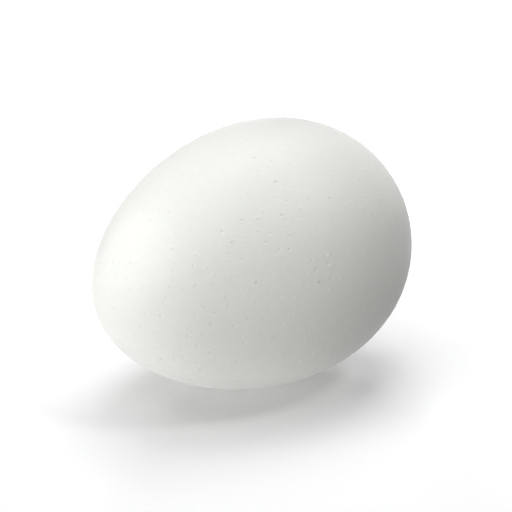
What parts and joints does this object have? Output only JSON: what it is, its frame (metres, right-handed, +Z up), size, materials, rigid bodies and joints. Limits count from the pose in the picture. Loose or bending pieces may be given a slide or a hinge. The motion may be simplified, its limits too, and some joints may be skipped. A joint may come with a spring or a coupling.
{
  "type": "egg",
  "caption": "Whole white hen's egg lying on its side, blunt end a little raised, resting on a small flat spot under its weight.",
  "frame": {"origin": "middle of the small flat spot that the egg rests on, straight below its centre of weight", "axes": "+Z up, away from the surface; +X along the egg's length towards its blunt end; +Y to the side, square to its plane of symmetry"},
  "size_m": [0.0568, 0.0442, 0.0443],
  "materials": {
    "eggshell": null
  },
  "bodies": {
    "root": {"egg": "eggshell"}
  },
  "joints": []
}
